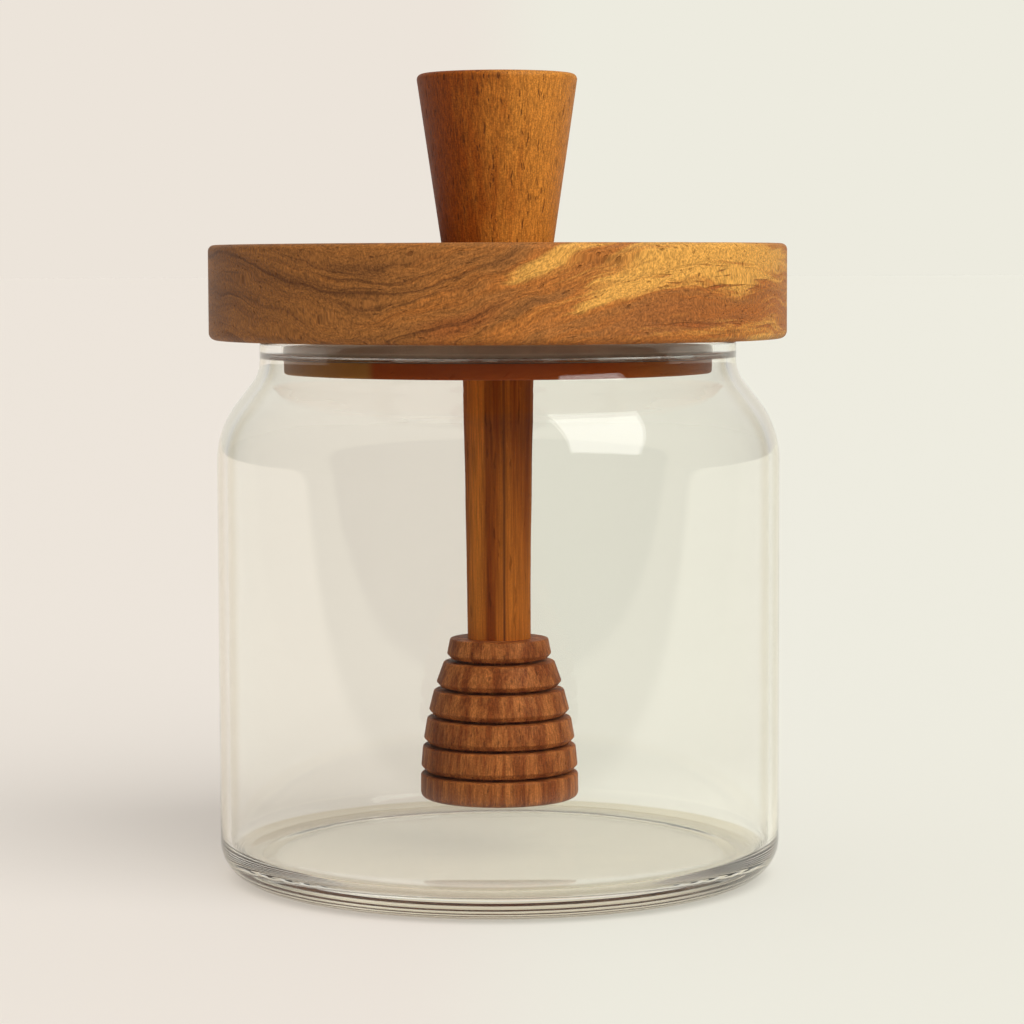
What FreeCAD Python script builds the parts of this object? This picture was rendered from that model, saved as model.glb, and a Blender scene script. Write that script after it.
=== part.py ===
import FreeCAD, Part
import math
import os

# Honey jar: a clear glass jar, a thick wooden lid with a silicone seal on its
# plug and a tapered wooden knob, and a wooden honey dipper that hangs from the
# lid into the jar. Every piece is turned, so each is a section swept round Z.
# Millimetres, +Z up, origin at the centre of the base, on the surface the jar
# stands on. A section lists (radius, height) corners, with a rounding where
# the corner is rounded.

# Glass jar
jar_radius = 50.0
jar_height = 95.6
wall = 1.8
floor_thickness = 4.4
heel_radius = 6.5
inner_heel_radius = 3.2
shoulder_step = 7.7  # how far the neck stands in from the body
shoulder_angle = 38.0  # degrees between the shoulder's slope and the upright
shoulder_bend = 17.0
neck_height = 5.9
neck_bend = 6.5
rim_width = 4.0  # the rim is thicker than the wall, inwards, for the seal to press on
rim_depth = 2.6
rim_slope = 0.3  # how far its underside slopes down to the wall
rim_round = 0.8
rim_under_round = 0.5
rim_blend = 0.5
foot_width = 1.0  # of the ring that the jar stands on
base_hollow = 0.5
base_slope = 2.4  # width of the sloping band between the foot and the hollow
base_blend = 5.0
foot_blend = 2.0

# Lid: a disc on the rim, and a plug below it with a groove for the seal
lid_overhang = 1.2  # past the jar's body
lid_thickness = 16.7
lid_top_round = 1.1
lid_bottom_round = 1.3
groove_height = 3.2
groove_depth = 4.5
flange_thickness = 3.2
flange_round = 0.7
plug_clearance = 0.3  # between the plug's flange and the mouth

# Silicone seal in the plug's groove, with one slanting lip
seal_lip_clearance = 0.12
seal_lip_slant = 1.15  # how far the lip draws in towards its top
seal_lip_height = 1.5  # of the widest line, above the flange
seal_heel = 0.15  # how far the lip draws in towards its foot
seal_round = 0.2
seal_bore_clearance = 0.05

# Knob
knob_height = 30.0
knob_base_radius = 9.95
knob_top_radius = 14.5
knob_top_round = 1.0
knob_base_round = 0.3

# Dipper stem, with a tenon at each end
stem_top_radius = 6.36
stem_foot_radius = 5.65
stem_waist = 0.13  # how far its side curves in between its ends
lid_tenon_radius = 4.5
knob_tenon_length = 14.0
foot_tenon_radius = 4.0
foot_tenon_length = 12.0
tenon_chamfer = 0.8
tenon_clearance = 0.1
tenon_end_gap = 0.5

# Dipper head: rings of one pitch under a lower top ring
dipper_clearance = 9.2  # between the head and the jar's floor
ring_count = 6
ring_pitch = 5.0
top_ring_height = 3.6
head_radius = 14.2
head_top_radius = 9.35
widest_height = 1.6  # of the widest point, above the head's underside
slot_width = 0.6
slot_depth = 3.0
bevel_height = 0.85
bevel_depth = 0.75
ring_top_round = 0.4
ring_edge_round = 0.3
top_ring_taper = 0.55
head_bottom_round = 1.1

# Sizes that follow
neck_radius = jar_radius - shoulder_step
mouth_radius = neck_radius - rim_width
inner_neck_radius = neck_radius - wall
inner_radius = jar_radius - wall
lid_top = jar_height + lid_thickness
lid_radius = jar_radius + lid_overhang
flange_radius = mouth_radius - plug_clearance
plug_radius = flange_radius - groove_depth
flange_top = jar_height - groove_height
flange_bottom = flange_top - flange_thickness
head_bottom = floor_thickness + dipper_clearance
head_top = head_bottom + (ring_count - 1) * ring_pitch + top_ring_height


def rounded_corner(before, corner, after, rounding):
    """Where an arc of that radius leaves and meets a corner's two sides, and its middle."""
    ways = []
    for other in (before, after):
        run = (other[0] - corner[0], other[1] - corner[1])
        length = math.hypot(*run)
        ways.append((run[0] / length, run[1] / length))
    opening = math.acos(ways[0][0] * ways[1][0] + ways[0][1] * ways[1][1])
    setback = rounding / math.tan(opening / 2)
    start, end = [(corner[0] + w[0] * setback, corner[1] + w[1] * setback) for w in ways]
    middle_way = (ways[0][0] + ways[1][0], ways[0][1] + ways[1][1])
    reach = rounding / math.sin(opening / 2) - rounding
    share = reach / math.hypot(*middle_way)
    middle = (corner[0] + middle_way[0] * share, corner[1] + middle_way[1] * share)
    return start, middle, end


def place(point):
    return FreeCAD.Vector(point[0], 0, point[1])


def turned(corners, bows=None):
    """A solid turned about Z from a closed section of (radius, height[, rounding]) corners.

    bows holds how far the middle of a side curves in towards the axis, by the
    number of the corner that the side starts at.
    """
    bows = bows or {}
    ends = []
    edges = []
    for number, corner in enumerate(corners):
        before = corners[number - 1]
        after = corners[(number + 1) % len(corners)]
        rounding = corner[2] if len(corner) > 2 else 0
        if rounding:
            start, middle, end = rounded_corner(before, corner, after, rounding)
            edges.append(Part.Arc(place(start), place(middle), place(end)).toShape())
            ends.append((start, end))
        else:
            ends.append((corner, corner))
    for number, (_, start) in enumerate(ends):
        stop = ends[(number + 1) % len(ends)][0]
        if number in bows:
            middle = ((start[0] + stop[0]) / 2 - bows[number], (start[1] + stop[1]) / 2)
            side = Part.BSplineCurve()
            side.interpolate([place(start), place(middle), place(stop)])
            edges.append(side.toShape())
        else:
            edges.append(Part.makeLine(place(start), place(stop)))
    outline = Part.Wire(Part.__sortEdges__(edges))
    section = Part.Face(outline)
    return section.revolve(FreeCAD.Vector(0, 0, 0), FreeCAD.Vector(0, 0, 1), 360)


def glass_jar():
    slope = math.tan(math.radians(shoulder_angle))
    half_turn = math.tan(math.radians(shoulder_angle / 2))
    neck_foot = jar_height - neck_height
    shoulder_foot = neck_foot - shoulder_step / slope
    inner_shoulder_foot = shoulder_foot - wall * half_turn
    inner_neck_foot = inner_shoulder_foot + (inner_radius - inner_neck_radius) / slope
    rim_foot = jar_height - rim_depth
    foot_radius = jar_radius - heel_radius
    hollow_edge = foot_radius - foot_width
    outside = [
        (0, base_hollow),
        (hollow_edge - base_slope, base_hollow, base_blend),
        (hollow_edge, 0, foot_blend),
        (jar_radius, 0, heel_radius),
        (jar_radius, shoulder_foot, shoulder_bend),
        (neck_radius, neck_foot, neck_bend),
        (neck_radius, jar_height, rim_round),
    ]
    inside = [
        (mouth_radius, jar_height, rim_round),
        (mouth_radius, rim_foot, rim_under_round),
        (inner_neck_radius, rim_foot - rim_slope, rim_blend),
        (inner_neck_radius, inner_neck_foot, neck_bend + wall),
        (inner_radius, inner_shoulder_foot, shoulder_bend - wall),
        (inner_radius, floor_thickness, inner_heel_radius),
        (0, floor_thickness),
    ]
    return turned(outside + inside)


def lid():
    bore = lid_tenon_radius + tenon_clearance
    return turned([
        (bore, flange_bottom),
        (flange_radius, flange_bottom, flange_round),
        (flange_radius, flange_top),
        (plug_radius, flange_top),
        (plug_radius, jar_height),
        (lid_radius, jar_height, lid_bottom_round),
        (lid_radius, lid_top, lid_top_round),
        (bore, lid_top),
    ])


def seal_ring():
    bore = plug_radius + seal_bore_clearance
    lip = mouth_radius - seal_lip_clearance
    return turned([
        (bore, flange_top),
        (lip - seal_heel, flange_top, seal_round),
        (lip, flange_top + seal_lip_height, seal_round),
        (lip - seal_lip_slant, jar_height, seal_round),
        (bore, jar_height),
    ])


def knob():
    bore = lid_tenon_radius + tenon_clearance
    bore_end = lid_top + knob_tenon_length + tenon_end_gap
    top = lid_top + knob_height
    return turned([
        (bore, lid_top),
        (knob_base_radius, lid_top, knob_base_round),
        (knob_top_radius, top, knob_top_round),
        (0, top),
        (0, bore_end),
        (bore, bore_end),
    ])


def dipper_stem():
    tenon_top = lid_top + knob_tenon_length
    tenon_foot = head_top - foot_tenon_length
    corners = [
        (0, tenon_foot),
        (foot_tenon_radius - tenon_chamfer, tenon_foot),
        (foot_tenon_radius, tenon_foot + tenon_chamfer),
        (foot_tenon_radius, head_top),
        (stem_foot_radius, head_top),
        (stem_top_radius, flange_bottom),
        (lid_tenon_radius, flange_bottom),
        (lid_tenon_radius, tenon_top - tenon_chamfer),
        (lid_tenon_radius - tenon_chamfer, tenon_top),
        (0, tenon_top),
    ]
    side = corners.index((stem_foot_radius, head_top))
    return turned(corners, {side: stem_waist})


def head_swell(height):
    """The radius of the head's beehive outline, an arc from its widest point to its top ring."""
    top_edge = head_top - top_ring_height + bevel_height
    rise = top_edge - head_bottom - widest_height
    draw_in = head_radius - head_top_radius
    arc_radius = (rise**2 + draw_in**2) / (2 * draw_in)
    from_widest = height - head_bottom - widest_height
    return head_radius - arc_radius + math.sqrt(arc_radius**2 - from_widest**2)


def ring_corners(number):
    """The corners of one ring of the head, counted from the bottom, from its underside up."""
    bottom = head_bottom + number * ring_pitch
    edge = bottom + bevel_height
    if number == 0:
        underside = [(head_swell(bottom), bottom, head_bottom_round)]
    else:
        underside = [
            (head_swell(bottom) - slot_depth, bottom),
            (head_swell(edge) - bevel_depth, bottom),
            (head_swell(edge), edge, ring_edge_round),
        ]
    if number == ring_count - 1:
        upper = [(head_swell(edge) - top_ring_taper, head_top, ring_top_round)]
    else:
        top = bottom + ring_pitch - slot_width
        core = head_swell(bottom + ring_pitch) - slot_depth
        upper = [(head_swell(top), top, ring_top_round), (core, top)]
    return underside + upper


def dipper_head():
    bore = foot_tenon_radius + tenon_clearance
    bore_end = head_top - foot_tenon_length - tenon_end_gap
    rings = [corner for number in range(ring_count) for corner in ring_corners(number)]
    socket = [(bore, head_top), (bore, bore_end), (0, bore_end)]
    return turned([(0, head_bottom)] + rings + socket)


pieces = {
    "glass_jar": glass_jar(),
    "lid": lid(),
    "seal_ring": seal_ring(),
    "knob": knob(),
    "dipper_stem": dipper_stem(),
    "dipper_head": dipper_head(),
}
os.makedirs("parts", exist_ok=True)
for name, solid in pieces.items():
    solid.exportStep(f"parts/{name}.step")
    print(f"{name}: {solid.Volume / 1000:.1f} cm3, valid {solid.isValid()}")
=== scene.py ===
import math

import bpy
from bpy.props import FloatProperty, FloatVectorProperty, IntProperty, PointerProperty
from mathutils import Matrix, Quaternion, Vector


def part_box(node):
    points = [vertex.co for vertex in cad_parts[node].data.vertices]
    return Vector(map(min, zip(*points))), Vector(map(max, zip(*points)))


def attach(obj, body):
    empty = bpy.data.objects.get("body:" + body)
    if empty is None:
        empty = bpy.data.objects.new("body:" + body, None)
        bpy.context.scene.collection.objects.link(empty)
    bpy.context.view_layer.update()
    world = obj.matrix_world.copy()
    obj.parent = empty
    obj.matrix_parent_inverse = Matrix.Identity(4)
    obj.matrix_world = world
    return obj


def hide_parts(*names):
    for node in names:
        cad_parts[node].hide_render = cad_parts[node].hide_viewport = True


bl_info = {
    "name": "Honey jar",
    "version": (1, 0, 0),
    "blender": (4, 5, 0),
    "location": "View3D > Sidebar > Honey jar",
    "description": "Makes a glass honey jar with a wooden lid, a knob and a hanging honey dipper",
    "category": "Object",
}

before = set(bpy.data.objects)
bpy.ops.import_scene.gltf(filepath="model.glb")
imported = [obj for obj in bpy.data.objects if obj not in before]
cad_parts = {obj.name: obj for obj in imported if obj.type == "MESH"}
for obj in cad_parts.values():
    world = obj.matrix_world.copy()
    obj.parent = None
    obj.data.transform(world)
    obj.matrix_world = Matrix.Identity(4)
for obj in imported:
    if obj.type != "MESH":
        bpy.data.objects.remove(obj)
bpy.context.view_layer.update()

MM = 0.001
BOARD_RADIUS = 51.2  # the lid's, in millimetres, which its growth layers follow
FOOT_RADIUS = 43.5  # the middle of the painted shadow round the jar's foot, in millimetres
ROOM_DARK = (0.05, 0.048, 0.045, 1.0)
ROOM_BRIGHT = (0.78, 0.76, 0.71, 1.0)
BOUNCED_TONE = (0.72, 0.66, 0.58, 1.0)  # what the floor throws back up
LIGHT_COLOUR = (1.0, 0.98, 0.95)
GLASS_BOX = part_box("glass_jar")
LID_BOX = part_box("lid")
SEAL_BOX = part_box("seal_ring")
KNOB_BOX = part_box("knob")
HEAD_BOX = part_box("dipper_head")


# ---------------------------------------------------------------- properties


def length(name, description, default):
    """A length that a user may change, in metres."""
    return FloatProperty(
        name=name, description=description, default=default, min=0.0, precision=5, unit="LENGTH"
    )


def angle(name, description, degrees):
    """An angle that a user may change."""
    return FloatProperty(
        name=name, description=description, default=math.radians(degrees), subtype="ANGLE"
    )


def linear(value):
    """A display value from 0 to 255 as linear light."""
    share = value / 255
    return share / 12.92 if share <= 0.04045 else ((share + 0.055) / 1.055) ** 2.4


def colour(name, description, red, green, blue):
    """A colour that a user may change, from display values."""
    return FloatVectorProperty(
        name=name,
        description=description,
        default=(linear(red), linear(green), linear(blue), 1.0),
        size=4,
        min=0.0,
        max=1.0,
        subtype="COLOR",
    )


class GlassSizes(bpy.types.PropertyGroup):
    """Sizes of the glass jar."""

    radius: length("Radius", "Outside radius of the body", GLASS_BOX[1].x)
    height: length("Height", "From the foot to the rim", GLASS_BOX[1].z)
    wall: length("Wall", "Thickness of the body's wall", 1.8 * MM)
    floor: length("Floor", "Thickness of the floor", 4.4 * MM)
    heel: length("Heel", "Rounding outside, between body and foot", 6.5 * MM)
    inner_heel: length("Inner heel", "Rounding inside, between body and floor", 3.2 * MM)
    shoulder_step: length("Shoulder step", "How far the neck stands in from the body", 7.7 * MM)
    shoulder_angle: angle("Shoulder angle", "Between the shoulder's slope and the upright", 38.0)
    shoulder_bend: length("Shoulder bend", "Rounding between body and shoulder", 17.0 * MM)
    neck_height: length("Neck height", "Upright part under the rim", 5.9 * MM)
    neck_bend: length("Neck bend", "Rounding outside, under the neck", 6.5 * MM)
    rim_width: length("Rim width", "Thickness of the glass in the rim", 4.0 * MM)
    rim_depth: length("Rim depth", "Height of the thick rim", 2.6 * MM)
    rim_slope: length("Rim slope", "How far the thick rim's underside slopes", 0.3 * MM)
    rim_round: length("Rim rounding", "Rounding of the rim's two edges", 0.8 * MM)
    rim_under_round: length("Rim lower rounding", "Rounding of the thick rim's foot", 0.5 * MM)
    rim_blend: length("Rim blend", "Rounding where the rim meets the wall", 0.5 * MM)
    foot_width: length("Foot width", "Width of the ring that the jar stands on", 1.0 * MM)
    hollow: length("Hollow", "Height of the hollow under the floor", 0.5 * MM)
    slope: length("Hollow slope", "Width of the slope between foot and hollow", 2.4 * MM)
    slope_blend: length("Slope blend", "Rounding at the top of that slope", 5.0 * MM)
    foot_blend: length("Foot blend", "Rounding at the foot of that slope", 2.0 * MM)
    waviness: length("Waviness", "How far the glass strays from its true shape", 0.012 * MM)


class LidSizes(bpy.types.PropertyGroup):
    """Sizes of the lid and of the seal in its groove."""

    radius: length("Radius", "Radius of the disc", LID_BOX[1].x)
    top: length("Top", "Height of the lid's top above the foot", LID_BOX[1].z)
    top_round: length("Top rounding", "Rounding of the upper edge", 1.1 * MM)
    bottom_round: length("Bottom rounding", "Rounding of the lower edge", 1.3 * MM)
    groove_height: length("Groove height", "Of the seal's groove", 3.2 * MM)
    flange_bottom: length("Flange underside", "Height above the foot", LID_BOX[0].z)
    flange_radius: length("Flange radius", "Radius of the plug's flange", 38.0 * MM)
    flange_round: length("Flange rounding", "Rounding of its lower edge", 0.7 * MM)
    plug_radius: length("Plug radius", "Radius at the bottom of the groove", 33.5 * MM)
    bore: length("Bore", "Radius of the hole for the dipper's tenon", 4.6 * MM)
    ripple: length("Ripple", "Depth of the ripples in the wood's surface", 0.07 * MM)
    lip: length("Seal lip", "Radius of the seal's lip", SEAL_BOX[1].x)
    lip_height: length("Lip height", "Of the widest line, above the flange", 1.5 * MM)
    lip_slant: length("Lip slant", "How far the lip draws in towards its top", 1.15 * MM)
    lip_heel: length("Lip heel", "How far the lip draws in towards its foot", 0.15 * MM)
    lip_round: length("Lip rounding", "Rounding of the seal's edges", 0.2 * MM)
    seal_gap: length("Seal gap", "Between the seal and the bottom of the groove", 0.05 * MM)


class KnobSizes(bpy.types.PropertyGroup):
    """Sizes of the knob."""

    foot: length("Foot", "Height of its foot above the jar's foot", KNOB_BOX[0].z)
    top: length("Top", "Height of its top above the jar's foot", KNOB_BOX[1].z)
    top_radius: length("Top radius", "Radius at the top", KNOB_BOX[1].x)
    foot_radius: length("Foot radius", "Radius at the lid", 9.95 * MM)
    top_round: length("Top rounding", "Rounding of the upper edge", 1.0 * MM)
    foot_round: length("Foot rounding", "Rounding of the lower edge", 0.3 * MM)
    socket: length("Socket", "Radius of the hidden socket", 4.6 * MM)
    socket_depth: length("Socket depth", "Depth of the hidden socket", 14.5 * MM)


class DipperSizes(bpy.types.PropertyGroup):
    """Sizes of the dipper's stem and ringed head."""

    stem_top: length("Stem top", "Height of the stem's shoulder", LID_BOX[0].z)
    stem_top_radius: length("Stem top radius", "Radius under the lid", 6.36 * MM)
    stem_foot_radius: length("Stem foot radius", "Radius at the head", 5.65 * MM)
    stem_waist: length("Stem waist", "How far its side curves in", 0.13 * MM)
    lid_tenon: length("Lid tenon", "Radius of the tenon in lid and knob", 4.5 * MM)
    lid_tenon_top: length("Lid tenon top", "Height of that tenon's end", 126.3 * MM)
    head_tenon: length("Head tenon", "Radius of the tenon in the head", 4.0 * MM)
    head_tenon_foot: length("Head tenon foot", "Height of that tenon's end", 30.2 * MM)
    chamfer: length("Chamfer", "Chamfer of both tenons", 0.8 * MM)
    head_foot: length("Head foot", "Height of the head's underside", HEAD_BOX[0].z)
    head_radius: length("Head radius", "Radius at its widest", HEAD_BOX[1].x)
    head_top_radius: length("Head top radius", "Radius of the top ring", 9.35 * MM)
    widest: length("Widest", "Height of the widest line above the underside", 1.6 * MM)
    rings: IntProperty(name="Rings", description="Number of rings", default=6, min=2, max=12)
    pitch: length("Ring pitch", "From one ring to the next", 5.0 * MM)
    top_ring: length("Top ring", "Height of the top ring", 3.6 * MM)
    slot: length("Slot", "Width of the slots between rings", 0.6 * MM)
    slot_depth: length("Slot depth", "Depth of the slots", 3.0 * MM)
    bevel_height: length("Bevel height", "Height of the bevel under each ring", 0.85 * MM)
    bevel_depth: length("Bevel depth", "Depth of the bevel under each ring", 0.75 * MM)
    ring_round: length("Ring rounding", "Rounding of a ring's upper edge", 0.4 * MM)
    edge_round: length("Edge rounding", "Rounding of a ring's bevelled edge", 0.3 * MM)
    taper: length("Top taper", "How far the top ring draws in", 0.55 * MM)
    foot_round: length("Foot rounding", "Rounding of the head's underside", 1.1 * MM)
    socket: length("Socket", "Radius of the hidden socket", 4.1 * MM)
    socket_foot: length("Socket foot", "Height of the socket's end", 29.7 * MM)


class Finishes(bpy.types.PropertyGroup):
    """Colours of the wood, the silicone and the glass."""

    lid_dark: colour("Lid heartwood", "The lid's darkest wood", 132, 84, 42)
    lid_brown: colour("Lid brown", "The lid's middle brown", 157, 101, 49)
    lid_orange: colour("Lid orange", "The lid's warm orange brown", 172, 105, 45)
    lid_gold: colour("Lid sapwood", "The lid's golden sapwood", 217, 159, 75)
    lid_red: colour("Lid red", "The lid's reddish patches", 158, 84, 36)
    lid_line: colour("Lid lines", "Thin dark growth lines", 80, 46, 24)
    # Partly the plug's own wood, partly painted shade for the lid's shadow over it.
    plug_red_and_shade: colour("Plug", "The plug under the lid", 196, 84, 8)
    # The knob's two sides: partly their wood, partly painted shade on the left and painted light
    # on the right.
    knob_dark_and_shaded: colour("Knob dark", "The knob's dark side", 138, 66, 12)
    knob_light_and_lit: colour("Knob light", "The knob's light side", 192, 124, 46)
    stem_dark: colour("Stem dark", "The stem's dark streaks", 138, 62, 8)
    stem_light: colour("Stem light", "The stem's light streaks", 220, 132, 46)
    head_dark: colour("Head dark", "The head's dark streaks", 136, 70, 30)
    head_light: colour("Head light", "The head's light streaks", 190, 116, 60)
    pore: colour("Pores", "Open pores in the wood", 84, 44, 22)
    seal_colour: colour("Seal", "The silicone seal", 213, 187, 165)
    glass_tint: colour("Glass tint", "What the glass lets through", 253, 253, 250)
    glass_deep: colour("Thick glass", "Where the glass is thick", 222, 212, 186)


class StageLook(bpy.types.PropertyGroup):
    """The studio round the jar."""

    left_tone: colour("Left tone", "Background on the left", 236, 228, 218)
    right_tone: colour("Right tone", "Background on the right", 237, 235, 223)
    key_strength: FloatProperty(
        name="Key light", description="Strength of the key light", default=2.78, min=0.0
    )
    key_spread: angle("Key spread", "Width of the key light, for soft shadows", 60.0)
    key_azimuth: angle("Key azimuth", "Turn of the key light, rightwards from the front", 35.0)
    key_height: angle("Key height", "Height of the key light above the horizon", 43.0)
    fill: FloatProperty(
        name="Fill", description="Plain light from all round", default=0.30, min=0.0
    )
    floor_evenness: FloatProperty(
        name="Floor evenness", description="How little the floor shows shadows", default=0.32
    )
    softbox_azimuth: angle("Softbox azimuth", "Turn, rightwards from the front", 54.0)
    softbox_height: angle("Softbox height", "Height above the horizon", 43.5)
    softbox_turn: angle("Softbox turn", "How far it leans from upright", -20.0)
    softbox_distance: length("Softbox distance", "From its target in the jar", 1.2)
    softbox_target: length("Softbox target", "Height of what it faces", 0.085)
    softbox_size: FloatVectorProperty(
        name="Softbox size", description="Width and height", default=(0.66, 1.1), size=2
    )
    softbox_strength: FloatProperty(
        name="Softbox strength", description="How bright its reflection is", default=2.8
    )
    distance: length("Camera distance", "From the jar's axis to the camera", 0.575)
    lens: FloatProperty(name="Lens", description="Focal length, in millimetres", default=113.55)
    camera_side: length("Camera side step", "Camera's place to the right", 0.0024)
    camera_height: length("Camera height", "Camera's height above the foot", 0.1086)
    camera_tilt: angle("Camera tilt", "How far the camera looks down", 4.37)
    camera_roll: angle("Camera roll", "How far the camera leans", 0.2)


class HoneyJarSettings(bpy.types.PropertyGroup):
    """Everything that a user may change."""

    glass: PointerProperty(type=GlassSizes, name="Glass", description="Sizes of the glass")
    lid: PointerProperty(type=LidSizes, name="Lid", description="Sizes of the lid and seal")
    knob: PointerProperty(type=KnobSizes, name="Knob", description="Sizes of the knob")
    dipper: PointerProperty(type=DipperSizes, name="Dipper", description="Sizes of the dipper")
    finishes: PointerProperty(type=Finishes, name="Finishes", description="Colours")
    stage: PointerProperty(type=StageLook, name="Stage", description="Light and camera")


# ------------------------------------------------------------------ outlines


def rounded(before, corner, after, rounding, step):
    """Points along an arc that rounds a corner off."""
    point = Vector(corner[:2])
    ways = [(Vector(other[:2]) - point).normalized() for other in (before, after)]
    opening = ways[0].angle(ways[1])
    setback = rounding / math.tan(opening / 2)
    start, end = [point + way * setback for way in ways]
    centre = point + (ways[0] + ways[1]).normalized() * rounding / math.sin(opening / 2)
    turn = (start - centre).angle_signed(end - centre)
    count = max(2, math.ceil(abs(turn) / step))
    spoke = start - centre
    points = []
    for number in range(count + 1):
        share = -turn * number / count
        points.append(
            centre
            + Vector(
                (
                    spoke.x * math.cos(share) - spoke.y * math.sin(share),
                    spoke.x * math.sin(share) + spoke.y * math.cos(share),
                )
            )
        )
    return points


def outline(corners, spacing, closed=False, arc_step=math.radians(8), bows=None):
    """Points along (radius, height[, rounding]) corners, no further apart than spacing.

    bows holds how far the middle of a side curves in, by the number of the
    corner that the side starts at.
    """
    bows = bows or {}
    count = len(corners)
    runs = []
    for number, corner in enumerate(corners):
        rounding = corner[2] if len(corner) > 2 else 0
        inside = closed or 0 < number < count - 1
        if rounding and inside:
            before, after = corners[number - 1], corners[(number + 1) % count]
            runs.append(rounded(before, corner, after, rounding, arc_step))
        else:
            runs.append([Vector(corner[:2])])
    points = []
    for number, run in enumerate(runs):
        points += run
        if number == count - 1 and not closed:
            break
        start, end = run[-1], runs[(number + 1) % count][0]
        pieces = max(1, math.ceil((end - start).length / spacing))
        for piece in range(1, pieces):
            share = piece / pieces
            point = start.lerp(end, share)
            point.x -= bows.get(number, 0) * 4 * share * (1 - share)
            points.append(point)
    if closed:
        points.append(points[0])
    return points


def glass_outline(sizes):
    """The glass from under the middle of its foot, up outside, and down inside."""
    neck = sizes.radius - sizes.shoulder_step
    inner_neck = neck - sizes.wall
    mouth = neck - sizes.rim_width
    rim_foot = sizes.height - sizes.rim_depth
    inner = sizes.radius - sizes.wall
    slope = math.tan(sizes.shoulder_angle)
    neck_foot = sizes.height - sizes.neck_height
    shoulder_foot = neck_foot - sizes.shoulder_step / slope
    inner_shoulder_foot = shoulder_foot - sizes.wall * math.tan(sizes.shoulder_angle / 2)
    inner_neck_foot = inner_shoulder_foot + (inner - inner_neck) / slope
    hollow_edge = sizes.radius - sizes.heel - sizes.foot_width
    corners = [
        (0, sizes.hollow),
        (hollow_edge - sizes.slope, sizes.hollow, sizes.slope_blend),
        (hollow_edge, 0, sizes.foot_blend),
        (sizes.radius, 0, sizes.heel),
        (sizes.radius, shoulder_foot, sizes.shoulder_bend),
        (neck, neck_foot, sizes.neck_bend),
        (neck, sizes.height, sizes.rim_round),
        (mouth, sizes.height, sizes.rim_round),
        (mouth, rim_foot, sizes.rim_under_round),
        (inner_neck, rim_foot - sizes.rim_slope, sizes.rim_blend),
        (inner_neck, inner_neck_foot, sizes.neck_bend + sizes.wall),
        (inner, inner_shoulder_foot, sizes.shoulder_bend - sizes.wall),
        (inner, sizes.floor, sizes.inner_heel),
        (0, sizes.floor),
    ]
    return outline(corners, 1.5 * MM, arc_step=math.radians(4))


def lid_outline(sizes):
    """The lid with its plug, from the bore's foot, outwards and up."""
    rim = GLASS_BOX[1].z
    groove_foot = rim - sizes.groove_height
    corners = [
        (sizes.bore, sizes.flange_bottom),
        (sizes.flange_radius, sizes.flange_bottom, sizes.flange_round),
        (sizes.flange_radius, groove_foot),
        (sizes.plug_radius, groove_foot),
        (sizes.plug_radius, rim),
        (sizes.radius, rim, sizes.bottom_round),
        (sizes.radius, sizes.top, sizes.top_round),
        (sizes.bore, sizes.top),
    ]
    return outline(corners, 0.6 * MM, closed=True, arc_step=math.radians(15))


def seal_outline(sizes):
    """The silicone seal that fills the plug's groove."""
    bore = sizes.plug_radius + sizes.seal_gap
    top = GLASS_BOX[1].z
    foot = top - sizes.groove_height
    corners = [
        (bore, foot),
        (sizes.lip - sizes.lip_heel, foot, sizes.lip_round),
        (sizes.lip, foot + sizes.lip_height, sizes.lip_round),
        (sizes.lip - sizes.lip_slant, top, sizes.lip_round),
        (bore, top),
    ]
    return outline(corners, 0.4 * MM, closed=True)


def knob_outline(sizes):
    """The knob, from its socket's foot, outwards, up and in over its top."""
    socket_end = sizes.foot + sizes.socket_depth
    corners = [
        (0, socket_end),
        (sizes.socket, socket_end),
        (sizes.socket, sizes.foot),
        (sizes.foot_radius, sizes.foot, sizes.foot_round),
        (sizes.top_radius, sizes.top, sizes.top_round),
        (0, sizes.top),
    ]
    return outline(corners, 0.8 * MM)


def stem_outline(sizes, head_top):
    """The stem with its two tenons, from the foot up."""
    corners = [
        (0, sizes.head_tenon_foot),
        (sizes.head_tenon - sizes.chamfer, sizes.head_tenon_foot),
        (sizes.head_tenon, sizes.head_tenon_foot + sizes.chamfer),
        (sizes.head_tenon, head_top),
        (sizes.stem_foot_radius, head_top),
        (sizes.stem_top_radius, sizes.stem_top),
        (sizes.lid_tenon, sizes.stem_top),
        (sizes.lid_tenon, sizes.lid_tenon_top - sizes.chamfer),
        (sizes.lid_tenon - sizes.chamfer, sizes.lid_tenon_top),
        (0, sizes.lid_tenon_top),
    ]
    side = corners.index((sizes.stem_foot_radius, head_top))
    return outline(corners, 0.8 * MM, bows={side: sizes.stem_waist})


def head_top(sizes):
    """Height of the head's top."""
    return sizes.head_foot + (sizes.rings - 1) * sizes.pitch + sizes.top_ring


def head_swell(sizes, height):
    """Radius of the head's beehive shape, an arc that is widest near its foot."""
    top_edge = head_top(sizes) - sizes.top_ring + sizes.bevel_height
    rise = top_edge - sizes.head_foot - sizes.widest
    draw_in = sizes.head_radius - sizes.head_top_radius
    arc = (rise**2 + draw_in**2) / (2 * draw_in)
    from_widest = height - sizes.head_foot - sizes.widest
    return sizes.head_radius - arc + math.sqrt(arc**2 - from_widest**2)


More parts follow.
